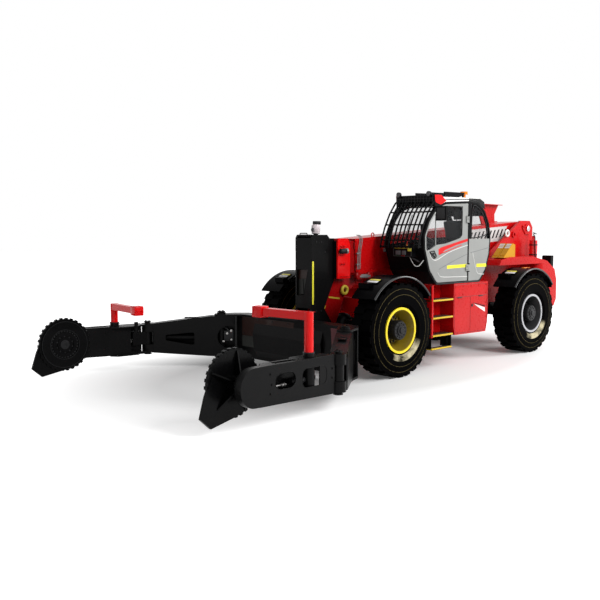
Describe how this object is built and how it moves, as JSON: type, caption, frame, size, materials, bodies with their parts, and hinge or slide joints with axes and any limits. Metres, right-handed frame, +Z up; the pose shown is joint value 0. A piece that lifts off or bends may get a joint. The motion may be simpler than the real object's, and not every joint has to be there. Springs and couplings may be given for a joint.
{
  "type": "telehandler with tyre handler",
  "caption": "Heavy telescopic handler with a side cab, steered wheels on both axles and a tyre handler on its boom, whose hinged arms end in turning toothed pads.",
  "frame": {"origin": "on the ground, at the middle of the overall length and width", "axes": "+X forward, +Y to the left, where the cab is, +Z up"},
  "size_m": [10.1124, 4.8764, 2.9891],
  "materials": {
    "body_red": "gloss",
    "handler_black": "gloss",
    "post_red": "gloss",
    "frame_black": "satin",
    "cab_silver": "gloss",
    "roof_white": "gloss",
    "glass": "clear",
    "seat_fabric": "matte",
    "dash_plastic": "matte",
    "engine_grey": "matte",
    "rod_chrome": "polished",
    "chock_yellow": "satin",
    "extinguisher_red": "gloss",
    "beacon_orange": "gloss",
    "tyre": "matte",
    "rim_yellow": "satin",
    "rim_silver": "satin",
    "pad_steel": "gloss"
  },
  "bodies": {
    "chassis": {"main_frame": "body_red", "counterweight": "body_red", "front_axle": "frame_black", "rear_axle": "frame_black", "cab_shell": "frame_black", "cab_rear_panel": "cab_silver", "cab_glass": "glass", "cab_roof": "roof_white", "roof_rails": "frame_black", "cab_guard": "frame_black", "beacon": "beacon_orange", "mirror": "frame_black", "seat": "seat_fabric", "steering_column": "dash_plastic", "side_box": "body_red", "ladder": "frame_black", "engine_pod": "body_red", "engine_block": "engine_grey", "exhaust": "frame_black", "wheel_chocks": "chock_yellow", "fire_extinguisher": "extinguisher_red", "rear_lamps": "body_red", "tie_down_eyes": "body_red"},
    "door": {"door": "cab_silver", "door_glass": "glass"},
    "hood": {"engine_hood": "body_red"},
    "boom": {"boom_outer": "body_red", "boom_hose_guide": "body_red"},
    "boom_extension": {"boom_inner": "body_red"},
    "lift_barrels": {"lift_barrels": "frame_black"},
    "lift_rods": {"lift_rods": "rod_chrome"},
    "tilt_barrel": {"tilt_barrel": "frame_black"},
    "tilt_rod": {"tilt_rod": "rod_chrome"},
    "carriage": {"mast": "handler_black", "head_plates": "body_red", "mast_camera": "roof_white", "handler_beam": "handler_black"},
    "knuckle_front_left": {"knuckle_front_left": "frame_black"},
    "wheel_front_left": {"tyre_front_left": "tyre", "rim_front_left": "rim_yellow"},
    "knuckle_front_right": {"knuckle_front_right": "frame_black"},
    "wheel_front_right": {"tyre_front_right": "tyre", "rim_front_right": "rim_yellow"},
    "knuckle_rear_left": {"knuckle_rear_left": "frame_black"},
    "wheel_rear_left": {"tyre_rear_left": "tyre", "rim_rear_left": "rim_silver"},
    "knuckle_rear_right": {"knuckle_rear_right": "frame_black"},
    "wheel_rear_right": {"tyre_rear_right": "tyre", "rim_rear_right": "rim_silver"},
    "root_arm_left": {"root_arm_left": "handler_black"},
    "outer_arm_left": {"outer_arm_left": "handler_black"},
    "pad_left": {"pad_left": "pad_steel"},
    "post_left": {"post_left": "post_red"},
    "root_arm_right": {"root_arm_right": "handler_black"},
    "outer_arm_right": {"outer_arm_right": "handler_black"},
    "pad_right": {"pad_right": "pad_steel"},
    "post_right": {"post_right": "post_red"}
  },
  "joints": [
    {"name": "steer_front_left", "type": "hinge", "parent": "chassis", "child": "knuckle_front_left", "pos_m": [0.585, 0.95, 0.745], "axis": [0, 0, 1], "range_deg": [-28, 28]},
    {"name": "spin_front_left", "type": "hinge", "parent": "knuckle_front_left", "child": "wheel_front_left", "pos_m": [0.585, 1.09, 0.745], "axis": [0, 1, 0], "continuous": true},
    {"name": "steer_front_right", "type": "hinge", "parent": "chassis", "child": "knuckle_front_right", "pos_m": [0.585, -0.95, 0.745], "axis": [0, 0, 1], "range_deg": [-28, 28]},
    {"name": "spin_front_right", "type": "hinge", "parent": "knuckle_front_right", "child": "wheel_front_right", "pos_m": [0.585, -1.09, 0.745], "axis": [0, 1, 0], "continuous": true},
    {"name": "steer_rear_left", "type": "hinge", "parent": "chassis", "child": "knuckle_rear_left", "pos_m": [-3.265, 0.95, 0.745], "axis": [0, 0, 1], "range_deg": [-28, 28]},
    {"name": "spin_rear_left", "type": "hinge", "parent": "knuckle_rear_left", "child": "wheel_rear_left", "pos_m": [-3.265, 1.09, 0.745], "axis": [0, 1, 0], "continuous": true},
    {"name": "steer_rear_right", "type": "hinge", "parent": "chassis", "child": "knuckle_rear_right", "pos_m": [-3.265, -0.95, 0.745], "axis": [0, 0, 1], "range_deg": [-28, 28]},
    {"name": "spin_rear_right", "type": "hinge", "parent": "knuckle_rear_right", "child": "wheel_rear_right", "pos_m": [-3.265, -1.09, 0.745], "axis": [0, 1, 0], "continuous": true},
    {"name": "door_hinge", "type": "hinge", "parent": "chassis", "child": "door", "pos_m": [-1.183, 1.264, 2], "axis": [0, 0, 1], "range_deg": [0, 95]},
    {"name": "hood_hinge", "type": "hinge", "parent": "chassis", "child": "hood", "pos_m": [-1.335, -0.483, 1.71], "axis": [-1, 0, 0], "range_deg": [0, 60]},
    {"name": "boom_lift", "type": "hinge", "parent": "chassis", "child": "boom", "pos_m": [-4.435, 0, 2.35], "axis": [0, -1, 0], "range_deg": [0, 62]},
    {"name": "boom_telescope", "type": "slide", "parent": "boom", "child": "boom_extension", "axis": [0.9979, 0, -0.0645], "range_m": [0, 3.2]},
    {"name": "lift_barrel_swing", "type": "hinge", "parent": "chassis", "child": "lift_barrels", "pos_m": [-3.815, 0, 0.95], "axis": [0, -1, 0], "range_deg": [0, 56]},
    {"name": "lift_rod_slide", "type": "slide", "parent": "lift_barrels", "child": "lift_rods", "axis": [0.9697, 0, 0.2442], "range_m": [0, 1.557]},
    {"name": "carriage_tilt", "type": "hinge", "parent": "boom_extension", "child": "carriage", "pos_m": [1.135, 0, 0.6], "axis": [0, 1, 0], "range_deg": [-5, 35]},
    {"name": "tilt_barrel_swing", "type": "hinge", "parent": "boom_extension", "child": "tilt_barrel", "pos_m": [0.37, 0, 1.478], "axis": [0, 1, 0], "range_deg": [-2, 7]},
    {"name": "tilt_rod_slide", "type": "slide", "parent": "tilt_barrel", "child": "tilt_rod", "axis": [0.9956, 0, -0.0941], "range_m": [-0.08, 0.49]},
    {"name": "root_arm_left_swing", "type": "hinge", "parent": "carriage", "child": "root_arm_left", "pos_m": [2.035, 1.45, 0.54], "axis": [0, 0, -1], "range_deg": [-15, 25]},
    {"name": "outer_arm_left_swing", "type": "hinge", "parent": "root_arm_left", "child": "outer_arm_left", "pos_m": [2.985, 2.251, 0.54], "axis": [0, 0, -1], "range_deg": [-20, 15]},
    {"name": "pad_left_turn", "type": "hinge", "parent": "outer_arm_left", "child": "pad_left", "pos_m": [4.53659, 2.39221, 0.561], "axis": [-0.0906, 0.9959, 0], "continuous": true},
    {"name": "post_left_slide", "type": "slide", "parent": "outer_arm_left", "child": "post_left", "axis": [0, 0, 1], "range_m": [-0.19, 0.11]},
    {"name": "root_arm_right_swing", "type": "hinge", "parent": "carriage", "child": "root_arm_right", "pos_m": [2.035, -1.45, 0.54], "axis": [0, 0, 1], "range_deg": [-15, 25]},
    {"name": "outer_arm_right_swing", "type": "hinge", "parent": "root_arm_right", "child": "outer_arm_right", "pos_m": [2.985, -2.251, 0.54], "axis": [0, 0, 1], "range_deg": [-20, 15]},
    {"name": "pad_right_turn", "type": "hinge", "parent": "outer_arm_right", "child": "pad_right", "pos_m": [4.53659, -2.39221, 0.561], "axis": [-0.0906, -0.9959, 0], "continuous": true},
    {"name": "post_right_slide", "type": "slide", "parent": "outer_arm_right", "child": "post_right", "axis": [0, 0, 1], "range_m": [0, 0.3]}
  ],
  "couplings": [
    {"joint": "steer_front_right", "follows": "steer_front_left", "ratio": 1},
    {"joint": "steer_rear_right", "follows": "steer_rear_left", "ratio": 1},
    {"joint": "lift_barrel_swing", "follows": "boom_lift", "ratio": 0.88},
    {"joint": "lift_rod_slide", "follows": "boom_lift", "m_per_rad": 1.43},
    {"joint": "tilt_barrel_swing", "follows": "carriage_tilt", "ratio": 0.16},
    {"joint": "tilt_rod_slide", "follows": "carriage_tilt", "m_per_rad": 0.77},
    {"joint": "root_arm_right_swing", "follows": "root_arm_left_swing", "ratio": 1},
    {"joint": "outer_arm_right_swing", "follows": "outer_arm_left_swing", "ratio": 1}
  ]
}
